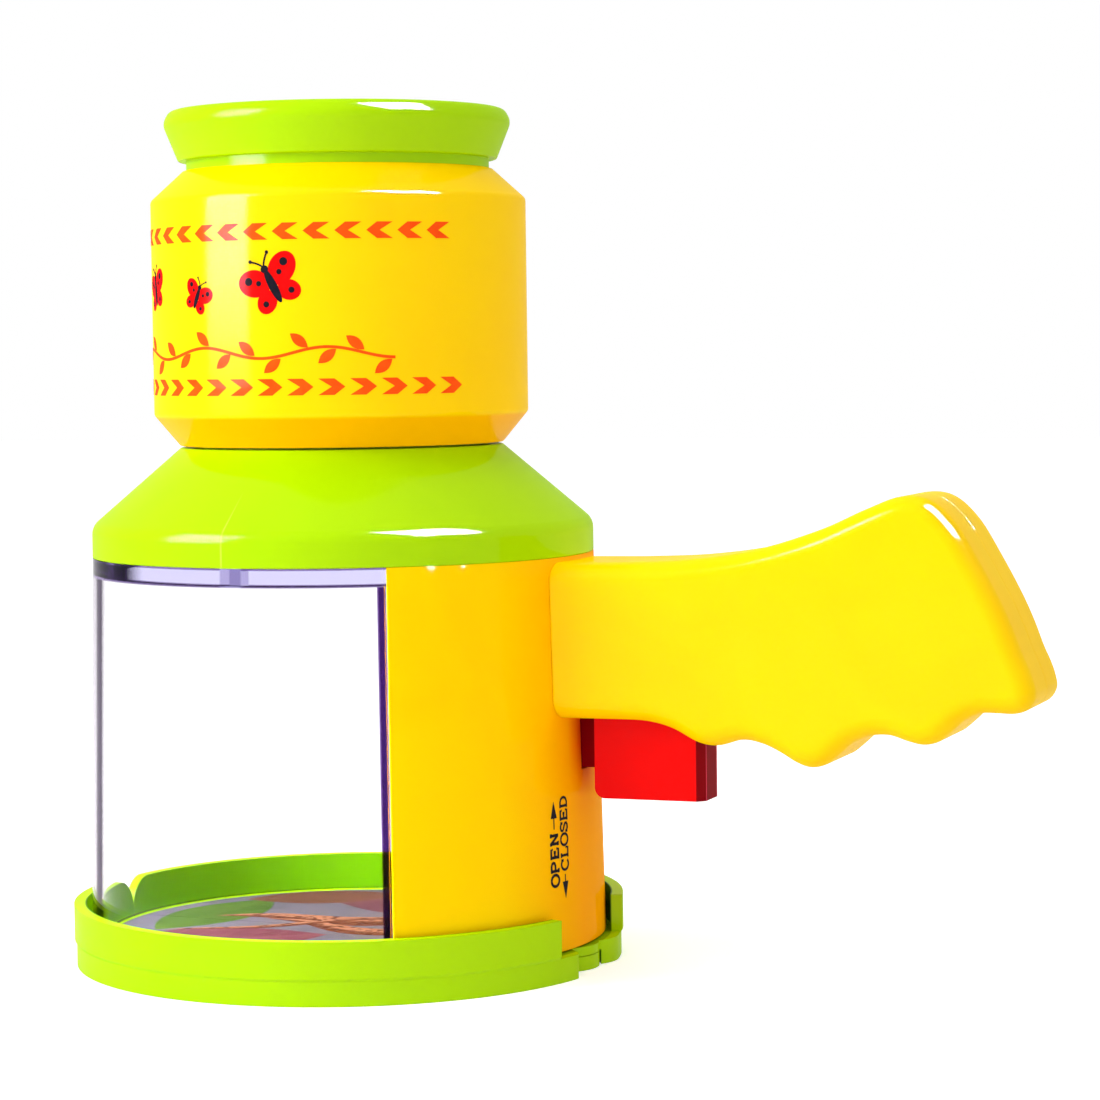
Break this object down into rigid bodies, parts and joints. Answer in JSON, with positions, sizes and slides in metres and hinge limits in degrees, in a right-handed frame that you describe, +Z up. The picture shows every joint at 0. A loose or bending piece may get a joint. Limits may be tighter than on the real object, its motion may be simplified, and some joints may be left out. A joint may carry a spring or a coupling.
{
  "type": "bug catcher jar",
  "caption": "Hand-held bug catcher: clear jar under a magnifying drum, trigger handle at the side and base jaws that swing apart.",
  "frame": {"origin": "on the base plane, at the jar's axis", "axes": "+X along the handle, away from the jar; +Y across the jar, away from the picture's near side; +Z up along the jar's axis"},
  "size_m": [0.1698, 0.0948, 0.1454],
  "materials": {
    "green_plastic": "glossy injection-moulded lime green",
    "yellow_plastic": "glossy injection-moulded warm yellow",
    "red_plastic": "glossy injection-moulded red",
    "white_plastic": "natural white acetal",
    "clear_plastic": "clear polystyrene with faintly violet edges",
    "clear_lens": "clear polished acrylic",
    "printed_card": "printed and laminated, leaves and twigs",
    "steel": "plated steel"
  },
  "bodies": {
    "jar": {"collar": "green_plastic", "clear_window": "clear_plastic", "rear_column": "yellow_plastic", "mechanism_cover": "yellow_plastic", "cover_screws": "steel", "handle_near_shell": "yellow_plastic", "handle_far_shell": "yellow_plastic", "handle_screws": "steel", "hinge_pin": "steel"},
    "drum": {"viewer_drum": "yellow_plastic", "objective_lens": "clear_lens", "objective_lens_ring": "yellow_plastic"},
    "eye_tube": {"eyepiece": "green_plastic", "eyepiece_lens": "clear_lens", "eyepiece_lens_ring": "green_plastic"},
    "trigger_set": {"trigger": "red_plastic", "trigger_carriage": "white_plastic", "blade_pin": "steel", "cam_pin": "steel", "trigger_spring": "steel"},
    "near_base": {"near_jaw": "green_plastic", "near_floor_card": "printed_card"},
    "far_base": {"far_jaw": "green_plastic", "far_floor_card": "printed_card"}
  },
  "joints": [
    {"name": "trigger_slide", "type": "slide", "parent": "jar", "child": "trigger_set", "axis": [0, 0, 1], "range_m": [0, 0.008], "stiffness_N_per_m": 500, "springref_m": -0.004, "deforming": ["trigger_spring"]},
    {"name": "near_base_swing", "type": "hinge", "parent": "jar", "child": "near_base", "pos_m": [0.0382, 0, 0.002], "axis": [0, 0, 1], "range_deg": [0, 24]},
    {"name": "far_base_swing", "type": "hinge", "parent": "jar", "child": "far_base", "pos_m": [0.0382, 0, 0.002], "axis": [0, 0, -1], "range_deg": [0, 24]},
    {"name": "drum_twist", "type": "hinge", "parent": "jar", "child": "drum", "pos_m": [0, 0, 0.091], "axis": [0, 0, 1], "range_deg": [0, 30]},
    {"name": "eyepiece_focus", "type": "slide", "parent": "drum", "child": "eye_tube", "axis": [0, 0, 1], "range_m": [-0.0012, 0.012]}
  ],
  "couplings": [
    {"joint": "near_base_swing", "follows": "trigger_slide", "rad_per_m": 52.35},
    {"joint": "far_base_swing", "follows": "trigger_slide", "rad_per_m": 52.35}
  ]
}
